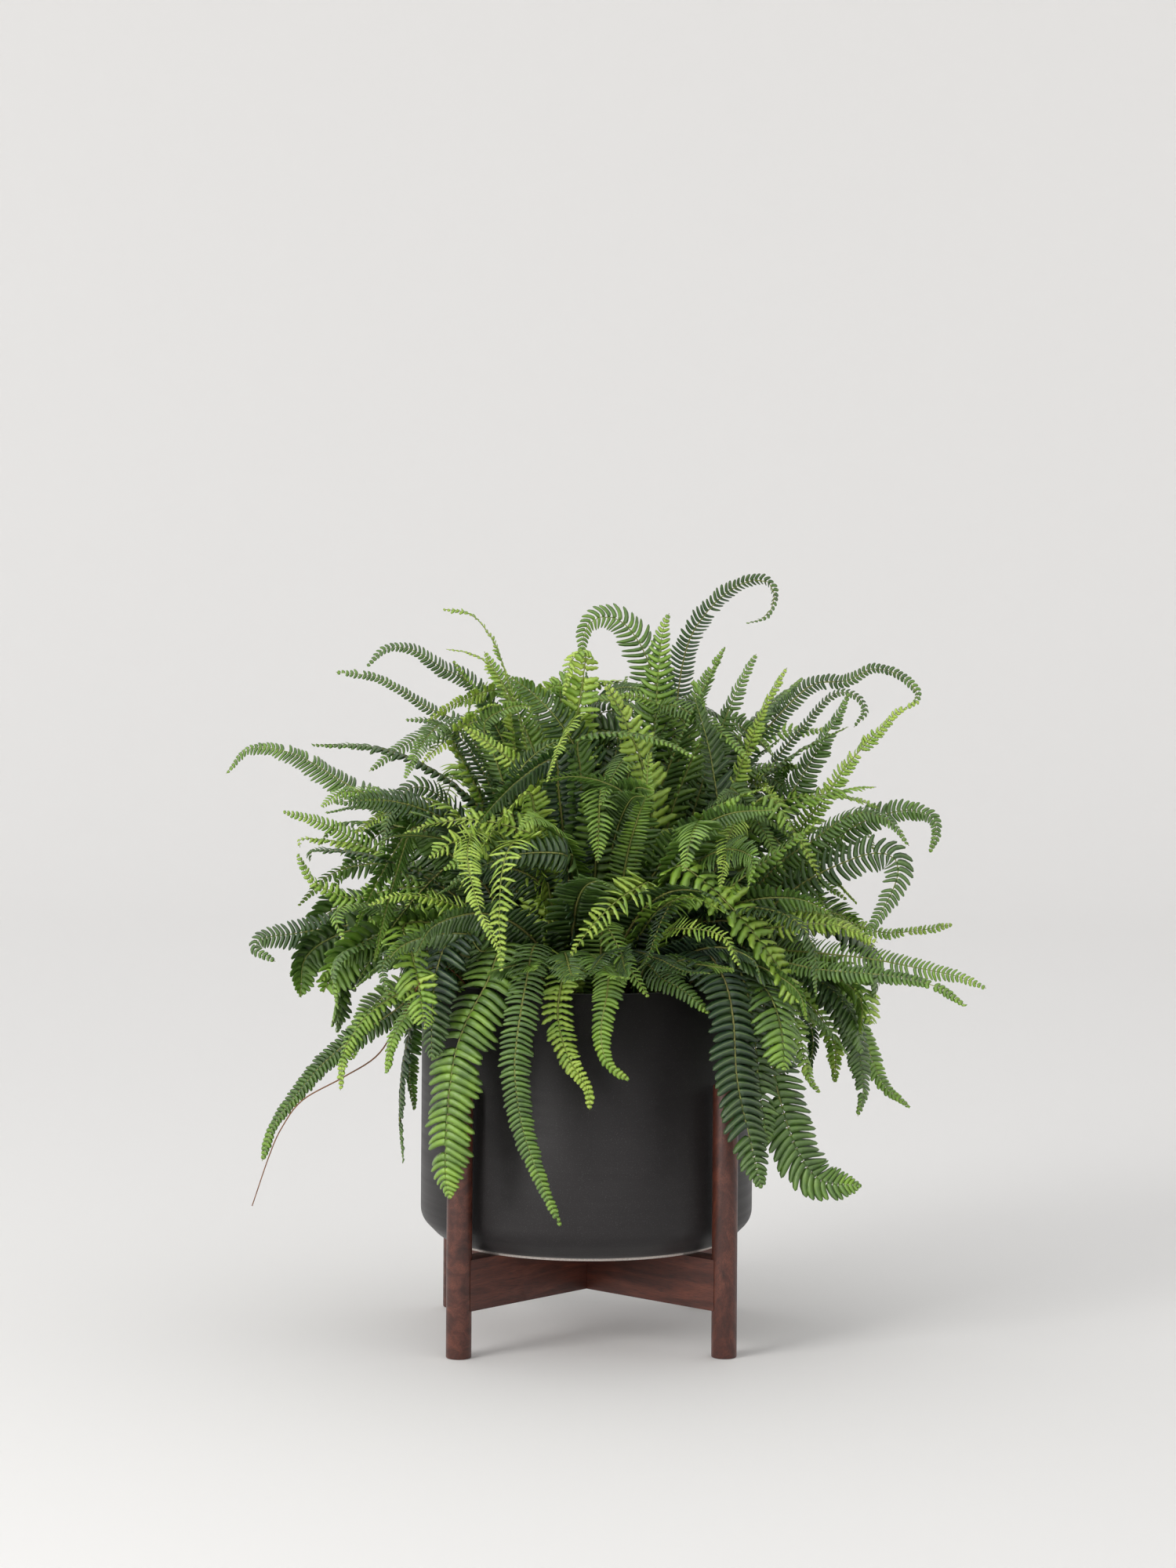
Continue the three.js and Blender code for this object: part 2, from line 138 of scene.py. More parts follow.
def walnut(name, turn):
    """Dark stained walnut with its grain along X once turned."""
    oil = Finish(name, coat_weight=0.12, coat_roughness=0.35)
    grain = oil.place(turn=turn)
    figure = oil.noise(oil.place((1, 9, 9), of=grain), 14, 5, 0.6, 0.7)
    pores = oil.noise(oil.place((4, 60, 60), of=grain), 28, 2)
    colour = oil.ramp(figure, (0.28, rgb(50, 22, 14)), (0.5, rgb(80, 39, 28)), (0.72, rgb(110, 60, 44)))
    colour = oil.mix(oil.span(pores, 0.55, 0.0, 0.34, 0.52), colour, rgb(34, 20, 16))
    rough = oil.span(figure, 0.48, 0.36, 0.3, 0.7)
    return oil.done(colour, rough, oil.bump(pores, 0.25, 0.0004))


def black_glaze():
    """A matt black glaze with a soft sheen, fine specks and faint turning bands."""
    glaze = Finish("black_glaze", specular_ior_level=0.35, sheen_weight=0.12, sheen_roughness=0.4)
    here = glaze.place()
    bands = glaze.noise(glaze.place((2, 2, 260)), 1.0, 3)
    specks = glaze.noise(here, 1500, 2)
    clouds = glaze.noise(here, 12, 3)
    colour = glaze.ramp(clouds, (0.3, rgb(29, 26, 27)), (0.7, rgb(36, 33, 34)))
    colour = glaze.mix(glaze.span(specks, 0.0, 0.35, 0.6, 0.75), colour, rgb(96, 94, 96))
    rough = glaze.span(bands, 0.46, 0.56, 0.3, 0.7)
    fine = glaze.bump(specks, 0.12, 0.0003)
    return glaze.done(colour, rough, glaze.bump(bands, 0.1, 0.0006, fine))


def bare_clay():
    """The unglazed foot: pale stoneware."""
    clay = Finish("bare_clay")
    grit = clay.noise(clay.place(), 900, 3)
    colour = clay.ramp(grit, (0.3, rgb(196, 186, 178)), (0.7, rgb(226, 218, 211)))
    return clay.done(colour, clay.span(grit, 0.8, 0.95), clay.bump(grit, 0.3, 0.0003))


def potting_soil():
    """Dark, dull, crumbly potting mix."""
    soil = Finish("potting_soil", specular_ior_level=0.2)
    crumbs = soil.noise(soil.place(), 160, 6, 0.65)
    colour = soil.ramp(crumbs, (0.3, rgb(30, 22, 17)), (0.55, rgb(56, 42, 32)), (0.75, rgb(92, 72, 55)))
    return soil.done(colour, soil.span(crumbs, 0.85, 1.0), soil.bump(crumbs, 0.8, 0.002))


def rhizome_bark(name, dark, light):
    """Brown, hairy rhizome and runner skin."""
    bark = Finish(name, specular_ior_level=0.3)
    hairs = bark.noise(bark.place(), 700, 4, 0.7)
    colour = bark.ramp(hairs, (0.3, dark), (0.7, light))
    return bark.done(colour, bark.span(hairs, 0.65, 0.95), bark.bump(hairs, 0.6, 0.0006))


def dowel_beech():
    """The pale beech of the dowels."""
    beech = Finish("dowel_beech")
    fibres = beech.noise(beech.place((30, 30, 30)), 20, 3)
    colour = beech.ramp(fibres, (0.3, rgb(186, 150, 108)), (0.7, rgb(214, 182, 140)))
    return beech.done(colour, beech.span(fibres, 0.6, 0.75), beech.bump(fibres, 0.2, 0.0003))


def leaflet_green():
    """Leaflets. The attribute age runs from 0, a young tip, to 1, an old frond. The leaflet's own map runs
    along it in U and across it in V, with its midrib at one half."""
    leaf = Finish("leaflet_green", specular_ior_level=0.8, subsurface_weight=0.12, subsurface_scale=0.002)
    leaf.shader.inputs["Subsurface Radius"].default_value = (0.5, 1.0, 0.2)
    age = leaf.node("Attribute", attribute_name="age").outputs["Fac"]
    mottle = leaf.noise(leaf.place(), 90, 3)
    age = leaf.math("ADD", age, leaf.span(mottle, -0.1, 0.1, 0.3, 0.7))
    colour = leaf.ramp(
        age,
        (0.0, rgb(186, 216, 84)),
        (0.2, rgb(138, 178, 60)),
        (0.45, rgb(92, 126, 52)),
        (0.7, rgb(54, 80, 34)),
        (1.0, rgb(38, 62, 46)),
    )
    sides = leaf.node("SeparateXYZ", {"Vector": leaf.node("UVMap", uv_map="leaflet").outputs["UV"]})
    across = leaf.math("ABSOLUTE", leaf.math("SUBTRACT", sides.outputs["Y"], 0.5))
    rib = leaf.span(across, 0.45, 0.0, 0.0, 0.07)
    colour = leaf.mix(rib, colour, rgb(150, 176, 98))
    veins = leaf.math("SINE", leaf.math("MULTIPLY", leaf.math("SUBTRACT", sides.outputs["X"], across), 95))
    colour = leaf.mix(leaf.span(veins, 0.0, 0.16, -1, 1), colour, rgb(38, 60, 34))
    raised = leaf.math("ADD", leaf.math("MULTIPLY", veins, 0.25), rib)
    rough = leaf.span(mottle, 0.32, 0.44, 0.3, 0.7)
    return leaf.done(colour, rough, leaf.bump(raised, 0.35, 0.0004))


def midrib_green():
    """Stalks and midribs: brown and scaly at the foot, green towards the tip, by the attribute age."""
    rib = Finish("midrib_green", specular_ior_level=0.4)
    age = rib.node("Attribute", attribute_name="age").outputs["Fac"]
    scales = rib.noise(rib.place(), 800, 3)
    age = rib.math("ADD", age, rib.span(scales, -0.15, 0.15, 0.3, 0.7))
    colour = rib.ramp(age, (0.1, rgb(150, 172, 84)), (0.55, rgb(122, 120, 66)), (0.95, rgb(98, 70, 44)))
    return rib.done(colour, rib.span(scales, 0.5, 0.7), rib.bump(scales, 0.3, 0.0003))


# ---- making pieces -----------------------------------------------------------------------------


def smooth_object(name, work, materials):
    """The smooth-shaded object for a bmesh, with its finishes."""
    mesh = bpy.data.meshes.new(name)
    for face in work.faces:
        face.smooth = True
    work.to_mesh(mesh)
    work.free()
    piece = bpy.data.objects.new(name, mesh)
    bpy.context.collection.objects.link(piece)
    for material in materials:
        mesh.materials.append(material)
    return piece


def finished(name, work, materials, replaces=()):
    """A piece of the object, riding on the one body, with the CAD nodes it stands for."""
    piece = smooth_object(name, work, materials)
    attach(piece, "root")
    if replaces:
        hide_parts(*replaces)


def turned(profile, steps):
    """A full turning about Z of an outline of (radius, height) points."""
    work = bmesh.new()
    points = [work.verts.new((radius, 0, height)) for radius, height in profile]
    edges = [work.edges.new(pair) for pair in zip(points, points[1:])]
    bmesh.ops.spin(
        work, geom=points + edges, axis=(0, 0, 1), cent=(0, 0, 0), angle=2 * math.pi, steps=steps,
        use_merge=True,
    )
    bmesh.ops.remove_doubles(work, verts=work.verts, dist=JOINING)
    bmesh.ops.recalc_face_normals(work, faces=work.faces)
    return work


def rod(work, length, thick, thin, sides, cuts):
    """A tapering rod from the origin along +X, cut across so that it can bend: its corners and faces."""
    corners_before, faces_before = len(work.verts), len(work.faces)
    place = Matrix.Translation((length / 2, 0, 0)) @ Matrix.Rotation(math.pi / 2, 4, "Y")
    bmesh.ops.create_cone(
        work, cap_ends=True, segments=sides, radius1=thick, radius2=thin, depth=length, matrix=place
    )
    work.verts.ensure_lookup_table()
    corners = set(work.verts[corners_before:])
    long_edges = [e for e in work.edges if e.verts[0] in corners and e.calc_length() > 0.5 * length]
    bmesh.ops.subdivide_edges(work, edges=long_edges, cuts=cuts)
    work.verts.ensure_lookup_table()
    work.faces.ensure_lookup_table()
    return work.verts[corners_before:], work.faces[faces_before:]


# ---- stand -------------------------------------------------------------------------------------

LEG_SIDES = 48
LEG_ROUNDING = 1.2 * MM
SHARP = math.radians(57)


def make_leg(node):
    """A round post with rounded ends, its grain upright and turned differently on each."""
    low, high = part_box(node)
    radius = (high.x - low.x) / 2
    work = bmesh.new()
    bmesh.ops.create_cone(
        work, cap_ends=True, segments=LEG_SIDES, radius1=radius, radius2=radius, depth=high.z - low.z,
        matrix=Matrix.Translation((low + high) / 2),
    )
    rims = [edge for edge in work.edges if edge.calc_face_angle() > SHARP]
    bmesh.ops.bevel(
        work, geom=rims, offset=LEG_ROUNDING, offset_type="OFFSET", segments=3, profile=0.5, affect="EDGES",
        material=-1,
    )
    grain = walnut(f"walnut_{node}", (random.Random(node).uniform(0, 3), math.pi / 2, 0))
    finished(f"{node}_post", work, [grain], [node])


def set_finish(node, material):
    """A new material on a CAD node that keeps its shape."""
    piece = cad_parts[node]
    for slot in piece.material_slots:
        slot.material = material
    if not piece.material_slots:
        piece.data.materials.append(material)


def finish_stand():
    """The legs are new pieces. The rails and dowels are the CAD's, with walnut along each rail."""
    legs = sorted(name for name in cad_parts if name.startswith("leg_"))
    for leg in legs:
        make_leg(leg)
    beech = dowel_beech()
    for leg in legs:
        set_finish(leg.replace("leg_", "dowel_"), beech)
    for rail, leg in (("rail_lower", "leg_back_right"), ("rail_upper", "leg_back_left")):
        end = sum(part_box(leg), Vector()) / 2
        set_finish(rail, walnut(f"walnut_{rail}", (0, 0, -math.atan2(end.y, end.x))))


# ---- planter, soil, crown ----------------------------------------------------------------------

planter_low, planter_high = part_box("planter")
PLANTER_RADIUS = (planter_high.x - planter_low.x) / 2
PLANTER_SIDES = 160
PLANTER_WALL = 8 * MM
PLANTER_FLOOR = 9 * MM
FOOT_HEIGHT = 1.8 * MM
FOOT_INSET = 20 * MM
FOOT_WIDTH = 12 * MM
CHAMFER = 15 * MM
CHAMFER_ROUNDING_LOW = 6 * MM
CHAMFER_ROUNDING_HIGH = 7 * MM
LIP_ROUNDING = 2.5 * MM
INSIDE_ROUNDING = 11 * MM
ROUNDING_STEPS = 8
RIM_HEIGHT = planter_high.z
soil_low, soil_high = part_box("soil")
SOIL_RADIUS = PLANTER_RADIUS - PLANTER_WALL - 0.3 * MM
SOIL_SIDES = 72
SOIL_EDGE = soil_high.z - 2 * MM  # where the soil meets the wall
CRUMBS = 2.4 * MM  # how far the soil's top rises and falls
crown_low, crown_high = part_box("rhizome_crown")
CROWN_HEIGHT = crown_high.z - crown_low.z
CROWN_RADIUS = crown_high.x


def rounded(before, corner, after, reach):
    """Outline points round a corner."""
    before, corner, after = Vector(before), Vector(corner), Vector(after)
    start = corner + (before - corner).normalized() * reach
    end = corner + (after - corner).normalized() * reach
    points = []
    for i in range(ROUNDING_STEPS + 1):
        t = i / ROUNDING_STEPS
        points.append(tuple(start * (1 - t) ** 2 + corner * 2 * t * (1 - t) + end * t**2))
    return points


def make_planter():
    """The cylinder with its chamfer, lip, inside and glazed underside, and the bare foot ring."""
    foot, top = planter_low.z, planter_high.z
    glaze = foot + FOOT_HEIGHT
    outer, inner = PLANTER_RADIUS, PLANTER_RADIUS - PLANTER_WALL
    floor = foot + PLANTER_FLOOR
    under, low = (0, glaze), (outer - CHAMFER, glaze)
    high, side = (outer, glaze + CHAMFER), (outer, top)
    profile = [
        (0, glaze),
        (outer - FOOT_INSET - FOOT_WIDTH, glaze),
        (outer - FOOT_INSET - FOOT_WIDTH, foot),
        (outer - FOOT_INSET, foot),
        *rounded(under, low, high, CHAMFER_ROUNDING_LOW),
        *rounded(low, high, side, CHAMFER_ROUNDING_HIGH),
        *rounded(side, (outer, top), (inner, top), LIP_ROUNDING),
        *rounded((outer, top), (inner, top), (inner, floor), LIP_ROUNDING),
        *rounded((inner, top), (inner, floor), (0, floor), INSIDE_ROUNDING),
        (0, floor),
    ]
    work = turned(profile, PLANTER_SIDES)
    for face in work.faces:
        if face.calc_center_median().z < glaze - 0.1 * MM:
            face.material_index = 1
    finished("planter_body", work, [black_glaze(), bare_clay()], ["planter"])


def make_soil():
    """Packed potting mix: a cylinder whose top is crumbly."""
    work = turned([(0, soil_low.z), (SOIL_RADIUS, soil_low.z), (SOIL_RADIUS, SOIL_EDGE)], SOIL_SIDES)
    bmesh.ops.contextual_create(work, geom=[edge for edge in work.edges if edge.is_boundary])
    near_top = SOIL_EDGE - 1 * MM
    bmesh.ops.triangulate(work, faces=[face for face in work.faces if face.calc_center_median().z > near_top])
    lid = [face for face in work.faces if face.calc_center_median().z > near_top and face.normal.z > 0.9]
    lid_edges = {edge for face in lid for edge in face.edges}
    bmesh.ops.subdivide_edges(work, edges=list(lid_edges), cuts=3, use_grid_fill=True)
    for vert in work.verts:
        if vert.co.z > near_top and vert.co.xy.length < SOIL_RADIUS - 1 * MM:
            vert.co.z = SOIL_EDGE + CRUMBS * noise.noise(vert.co * 90)
    finished("potting_mix", work, [potting_soil()], ["soil"])


def make_crown():
    """The low mound of rhizomes and stalk bases that hides the soil."""
    work = bmesh.new()
    bmesh.ops.create_uvsphere(work, u_segments=64, v_segments=32, radius=1)
    bmesh.ops.bisect_plane(
        work, geom=work.verts[:] + work.edges[:] + work.faces[:], plane_co=(0, 0, 1 * MM), plane_no=(0, 0, 1),
        clear_inner=True,
    )
    bmesh.ops.holes_fill(work, edges=[edge for edge in work.edges if edge.is_boundary])
    for vert in work.verts:
        spot = Vector((vert.co.x * CROWN_RADIUS, vert.co.y * CROWN_RADIUS, 0))
        lump = 0.7 + 0.45 * noise.noise(spot * 70) + 0.2 * noise.noise(spot * 210)
        vert.co = (spot.x, spot.y, crown_low.z + CROWN_HEIGHT * vert.co.z * lump)
    bark = rhizome_bark("rhizome_bark", rgb(44, 32, 22), rgb(112, 84, 54))
    finished("rhizome_mound", work, [bark], ["rhizome_crown"])


# ---- fronds ------------------------------------------------------------------------------------

# The named fronds: age from 0, young, to 1, old, then leafy width, roll of the blade at its base and further
# roll by its tip. The midrib starts at a root on the crown, given in plan, and passes through the points that
# follow. Millimetres and degrees.
FRONDS = [
    ["left_long", 0.5, 32, -35, -10, [-52, 22],
     [-92, 40, 335], [-140, 60, 388], [-188, 75, 412], [-232, 85, 436], [-268, 92, 440], [-287, 95, 420]],
    ["upper_left_a", 0.8, 26, -40, -20, [-34, 12],
     [-50, 12, 390], [-80, 5, 483], [-115, 0, 509], [-139, 0, 523], [-158, 0, 522], [-171, 0, 509]],
    ["upper_left_b", 0.7, 20, -30, -20, [-44, 34],
     [-66, 45, 380], [-93, 55, 454], [-129, 60, 476], [-165, 64, 497], [-199, 66, 502]],
    ["top_left_young", 0.1, 20, -30, -30, [-18, -4],
     [-44, -25, 430], [-67, -30, 514], [-79, -30, 538], [-92, -30, 551], [-112, -30, 554]],
    ["top_curl_young", 0.1, 44, 0, 10, [-6, -30],
     [-14, -55, 420], [-5, -78, 505], [-4, -92, 525], [-14, -104, 518], [-20, -110, 492]],
    ["top_arch", 0.5, 48, 80, 10, [24, 30],
     [50, 38, 370], [60, 40, 445], [47, 36, 508], [29, 32, 540], [12, 28, 548], [-3, 24, 540],
     [-7, 22, 513]],
    ["top_upright", 0.3, 52, 110, 0, [16, -2],
     [38, -12, 370], [48, -20, 450], [52, -24, 505], [55, -24, 538], [60, -24, 552]],
    ["top_right_curl", 0.9, 30, 60, 60, [36, 8],
     [62, 14, 440], [73, 14, 520], [91, 12, 554], [115, 10, 574], [135, 8, 577], [142, 6, 565],
     [135, 4, 549], [120, 2, 544]],
    ["right_curl", 0.8, 24, 50, 30, [54, 24],
     [102, 36, 405], [163, 34, 489], [199, 30, 499], [218, 28, 509], [236, 26, 506], [250, 24, 496],
     [254, 22, 488], [248, 20, 481]],
    ["right_rising", 0.15, 26, 40, 20, [62, -2],
     [136, -18, 355], [180, -25, 413], [195, -28, 436], [216, -30, 460], [234, -30, 478], [250, -30, 486]],
    ["right_mid", 0.6, 36, 60, 10, [66, 14],
     [140, 12, 335], [200, 2, 386], [234, -2, 400], [252, -4, 401], [264, -6, 395], [266, -8, 384],
     [261, -10, 370]],
    ["right_droop", 0.7, 38, 45, 40, [60, -34],
     [145, -75, 340], [198, -92, 372], [224, -98, 375], [230, -102, 362], [220, -106, 338],
     [204, -110, 314]],
    ["right_low_a", 0.2, 20, 45, 20, [74, 26],
     [130, 40, 298], [180, 45, 316], [226, 48, 303], [256, 50, 304], [284, 50, 309]],
    ["right_low_b", 0.4, 28, 45, 20, [76, -8],
     [116, -40, 294], [190, -98, 300], [248, -112, 292], [274, -117, 287], [294, -120, 279]],
    ["right_low_c", 0.5, 22, 40, 20, [74, -20],
     [104, -72, 297], [168, -136, 294], [222, -150, 291], [254, -155, 284], [275, -158, 271]],
    ["hang_right_a", 0.9, 44, 0, 0, [50, -52],
     [80, -100, 302], [98, -133, 290], [106, -150, 261], [109, -158, 217], [117, -162, 180],
     [127, -165, 138]],
    ["hang_right_b", 0.6, 48, 10, 0, [62, -40],
     [108, -80, 306], [126, -110, 282], [133, -126, 241], [140, -134, 204], [153, -138, 164],
     [171, -141, 140], [201, -143, 136]],
    ["hang_right_c", 0.25, 36, 15, 0, [70, -28],
     [120, -58, 300], [146, -78, 276], [158, -86, 238], [166, -90, 208], [173, -92, 197]],
    ["hang_right_d", 0.7, 38, 40, 0, [76, -16],
     [140, -34, 300], [186, -50, 262], [202, -56, 231], [208, -58, 195], [204, -60, 175]],
    ["hang_right_e", 0.4, 34, 40, 0, [80, 4],
     [142, 4, 298], [192, -4, 264], [212, -10, 225], [226, -14, 194], [246, -18, 176]],
    ["hang_front_a", 0.5, 30, 0, -10, [-24, -66],
     [-38, -114, 308], [-46, -156, 280], [-52, -176, 240], [-52, -182, 215], [-46, -187, 181],
     [-33, -192, 146], [-19, -196, 115]],
    ["hang_front_b", 0.1, 32, 0, -20, [-8, -72],
     [-14, -112, 298], [-22, -140, 262], [-14, -148, 230], [0, -152, 207], [2, -154, 192]],
    ["hang_front_c", 0.3, 30, 0, 20, [14, -74],
     [16, -112, 294], [14, -138, 274], [10, -146, 252], [12, -149, 232], [20, -151, 220], [30, -152, 214]],
    ["rim_front", 0.6, 28, 40, 0, [34, -68],
     [42, -104, 292], [54, -132, 286], [72, -142, 277], [88, -146, 263]],
    ["hang_left_a", 0.38, 50, 0, 0, [-40, -60],
     [-60, -104, 308], [-74, -132, 282], [-88, -144, 256], [-97, -150, 230], [-102, -154, 188],
     [-103, -156, 146], [-100, -156, 127]],
    ["hang_left_b", 0.9, 36, 20, 0, [-58, -46],
     [-96, -78, 306], [-124, -96, 265], [-136, -104, 222], [-139, -108, 180], [-136, -110, 146]],
    ["left_low_long", 0.6, 27, -50, -10, [-70, -30],
     [-112, -48, 288], [-140, -55, 256], [-174, -60, 233], [-199, -62, 212], [-218, -64, 190],
     [-236, -65, 165], [-244, -66, 139]],
    ["left_low_a", 0.5, 34, -60, 0, [-60, -36],
     [-98, -70, 298], [-145, -88, 306], [-180, -94, 296], [-200, -98, 278]],
    ["left_low_b", 0.85, 38, -70, 0, [-74, -8],
     [-130, -14, 304], [-175, -18, 312], [-222, -22, 306], [-248, -24, 302], [-253, -26, 294],
     [-238, -28, 285]],
    ["left_low_young", 0.05, 28, -50, 0, [-42, -40],
     [-78, -106, 322], [-104, -128, 340], [-135, -136, 346], [-162, -140, 339]],
    ["left_mid", 0.3, 36, -60, 0, [-68, 8],
     [-122, 16, 330], [-166, 16, 364], [-200, 14, 385], [-235, 12, 396]],
    ["left_mid_curl", 0.25, 38, -60, 0, [-62, -18],
     [-106, -42, 332], [-140, -52, 344], [-178, -56, 336], [-207, -58, 349], [-219, -60, 369]],
    ["inner_left_young", 0.05, 34, 0, 0, [-24, -44],
     [-56, -88, 372], [-80, -134, 394], [-88, -178, 382], [-80, -218, 350], [-63, -243, 316]],
    ["inner_left_dark", 1.0, 48, -60, 0, [-22, -28],
     [-26, -72, 370], [-44, -90, 410], [-74, -96, 430], [-106, -98, 431]],
    ["inner_right", 0.4, 50, 0, 0, [48, -20],
     [66, -72, 345], [76, -112, 384], [80, -150, 402], [74, -190, 396], [68, -216, 372]],
    ["inner_front_young", 0.1, 48, 0, 0, [24, -34],
     [46, -66, 370], [42, -82, 430], [26, -94, 474], [10, -102, 504]],
    ["back_long", 0.6, 40, 0, 0, [4, 60],
     [6, 112, 350], [8, 166, 374], [10, 212, 354], [10, 238, 304], [8, 243, 252]],
    ["back_left_a", 0.7, 42, 0, 0, [-32, 56],
     [-58, 105, 345], [-88, 155, 366], [-116, 188, 340], [-130, 202, 290], [-134, 206, 245]],
    ["back_right_a", 0.5, 42, 0, 0, [38, 52],
     [68, 100, 345], [100, 148, 364], [128, 182, 338], [144, 198, 290], [148, 202, 240]],
    ["back_rising", 0.3, 40, 0, 0, [-4, 40],
     [-10, 80, 400], [-18, 116, 470], [-28, 150, 490], [-36, 180, 478]],
    ["back_hang_a", 0.8, 44, 0, 0, [-18, 74],
     [-30, 112, 300], [-42, 142, 280], [-50, 154, 235], [-52, 158, 190], [-48, 160, 145]],
    ["back_hang_b", 0.6, 44, 0, 0, [26, 72],
     [42, 112, 300], [56, 140, 278], [64, 152, 235], [66, 156, 190], [62, 158, 150]],
    ["back_hang_left", 0.6, 40, 0, 0, [-60, 50],
     [-96, 84, 304], [-124, 108, 276], [-138, 120, 230], [-142, 124, 185], [-138, 126, 150]],
    ["back_hang_right", 0.7, 40, 0, 0, [64, 44],
     [104, 74, 304], [134, 96, 276], [150, 108, 230], [154, 112, 185], [150, 114, 150]],
    ["left_back_low", 0.6, 36, -20, 0, [-76, 26],
     [-128, 50, 300], [-170, 70, 306], [-212, 86, 290], [-236, 94, 262]],
    ["right_back_low", 0.6, 36, 20, 0, [72, 46],
     [118, 96, 312], [150, 128, 322], [190, 152, 308], [218, 166, 280]],
]

# The runner's path, in the same form.
RUNNER_PATH = [
    [-74, -42], [-112, -66, 288], [-140, -75, 248], [-157, -77, 221], [-183, -78, 204], [-213, -79, 187],
    [-228, -80, 167], [-237, -81, 147], [-250, -82, 108],
]
RUNNER_RADIUS = 0.8 * MM
RUNNER_SIDES = 8
RUNNER_CUTS = 60

SPINE_STEPS = 96
SPINE_FINE_STEPS = 24  # from each point to the next, to measure the length
ROOT_RISE = 0.6  # how far up the crown's mound a frond starts
STIPE_SHARE = 0.13  # of a frond's length is bare stalk
YOUNG = 0.28  # the age at which a frond is grown

# A leaflet's outline: how far along it, and half its breadth there. The margin is wavy and the tip blunt.
# A young leaflet is lobed, and a coarse one is for the fronds that fill the plant.
LEAFLET_OUTLINE = [(0, 0), (0.08, 0.44), (0.22, 0.5), (0.45, 0.47), (0.7, 0.43), (0.92, 0.27), (1, 0)]
LEAFLET_OUTLINE_YOUNG = [(0, 0), (0.14, 0.56), (0.3, 0.4), (0.5, 0.54), (0.66, 0.36), (0.84, 0.36), (1, 0)]
LEAFLET_OUTLINE_COARSE = [(0, 0), (0.14, 0.5), (0.55, 0.47), (0.88, 0.3), (1, 0)]
EAR = 0.22
EAR_PLACE = 0.1
LEAFLET_THICKNESS = 0.06
LEAFLET_FOLD = 0.3  # how far its edges are below its midrib, for each unit out

TIP_WIDTH = 9 * MM
CLOSEST = 3.5 * MM  # between leaflets at a tip
BARE_TIP = 0.6 * MM
BROAD = 40 * MM  # a hanging frond wider than this stays wide until near its tip
MISSING = 0.02  # of the leaflets
WAVE_LENGTH = 18 * MM  # of the unevenness along a frond
ABOVE_MIDRIB = 0.3 * MM

MIDRIB_THICK = 1.25 * MM
MIDRIB_THIN = 0.25 * MM
MIDRIB_SIDES = 6
MIDRIB_CUTS = 34


def growth_points(path):
    """A path's points in metres, with its root's height in the crown filled in."""
    (x, y), *rest = path
    rise = CROWN_HEIGHT * math.sqrt(max(0, 1 - (math.hypot(x, y) * MM / CROWN_RADIUS) ** 2))
    root = Vector((x * MM, y * MM, crown_low.z + rise * ROOT_RISE))
    return [root] + [Vector(point) * MM for point in rest]


class Spine:
    """A smooth curve through points, with a side and an up direction at every step along it."""

    def __init__(self, points, roll=0.0, twist=0.0):
        ends = [points[0] * 2 - points[1], *points, points[-1] * 2 - points[-2]]
        fine = []
        for a, b, c, d in zip(ends, ends[1:], ends[2:], ends[3:]):
            for i in range(SPINE_FINE_STEPS):
                fine.append(self.between(a, b, c, d, i / SPINE_FINE_STEPS))
        fine.append(points[-1])
        walked = [0.0]
        for one, two in zip(fine, fine[1:]):
            walked.append(walked[-1] + (two - one).length)
        self.length = walked[-1]
        self.points = []
        k = 0
        for i in range(SPINE_STEPS + 1):
            goal = self.length * i / SPINE_STEPS
            while k < len(fine) - 2 and walked[k + 1] < goal:
                k += 1
            share = (goal - walked[k]) / (walked[k + 1] - walked[k])
            self.points.append(fine[k].lerp(fine[k + 1], share))
        self.along = []
        for i in range(SPINE_STEPS + 1):
            before, after = self.points[max(0, i - 1)], self.points[min(SPINE_STEPS, i + 1)]
            self.along.append((after - before).normalized())
        side = Vector((0, 0, 1)).cross(self.along[0]).normalized()
        self.side, self.up = [], []
        for i, along in enumerate(self.along):
            if i:
                side = self.along[i - 1].rotation_difference(along) @ side
            turn = math.radians(roll + twist * i / SPINE_STEPS)
            across = Matrix.Rotation(turn, 3, along) @ side
            self.side.append(across)
            self.up.append(along.cross(across))

    @staticmethod
    def between(a, b, c, d, t):
        """A point of the smooth curve from b to c, where a comes before them and d after."""
        out, back = (c - a) / 2, (d - b) / 2
        return b + out * t + (-3 * b + 3 * c - 2 * out - back) * t**2 + (2 * b - 2 * c + out + back) * t**3

    def carry(self, flat):
        """Where a point of the flat frond goes: x along the midrib, y to its side, z above it."""
        place = min(max(flat.x / self.length, 0.0), 1.0) * SPINE_STEPS
        i = min(int(place), SPINE_STEPS - 1)
        t = place - i
        beyond = flat.x - min(max(flat.x, 0.0), self.length)
        point = self.points[i].lerp(self.points[i + 1], t) + self.along[i] * beyond
        side = self.side[i].lerp(self.side[i + 1], t)
        up = self.up[i].lerp(self.up[i + 1], t)
        return point + side * flat.y + up * flat.z


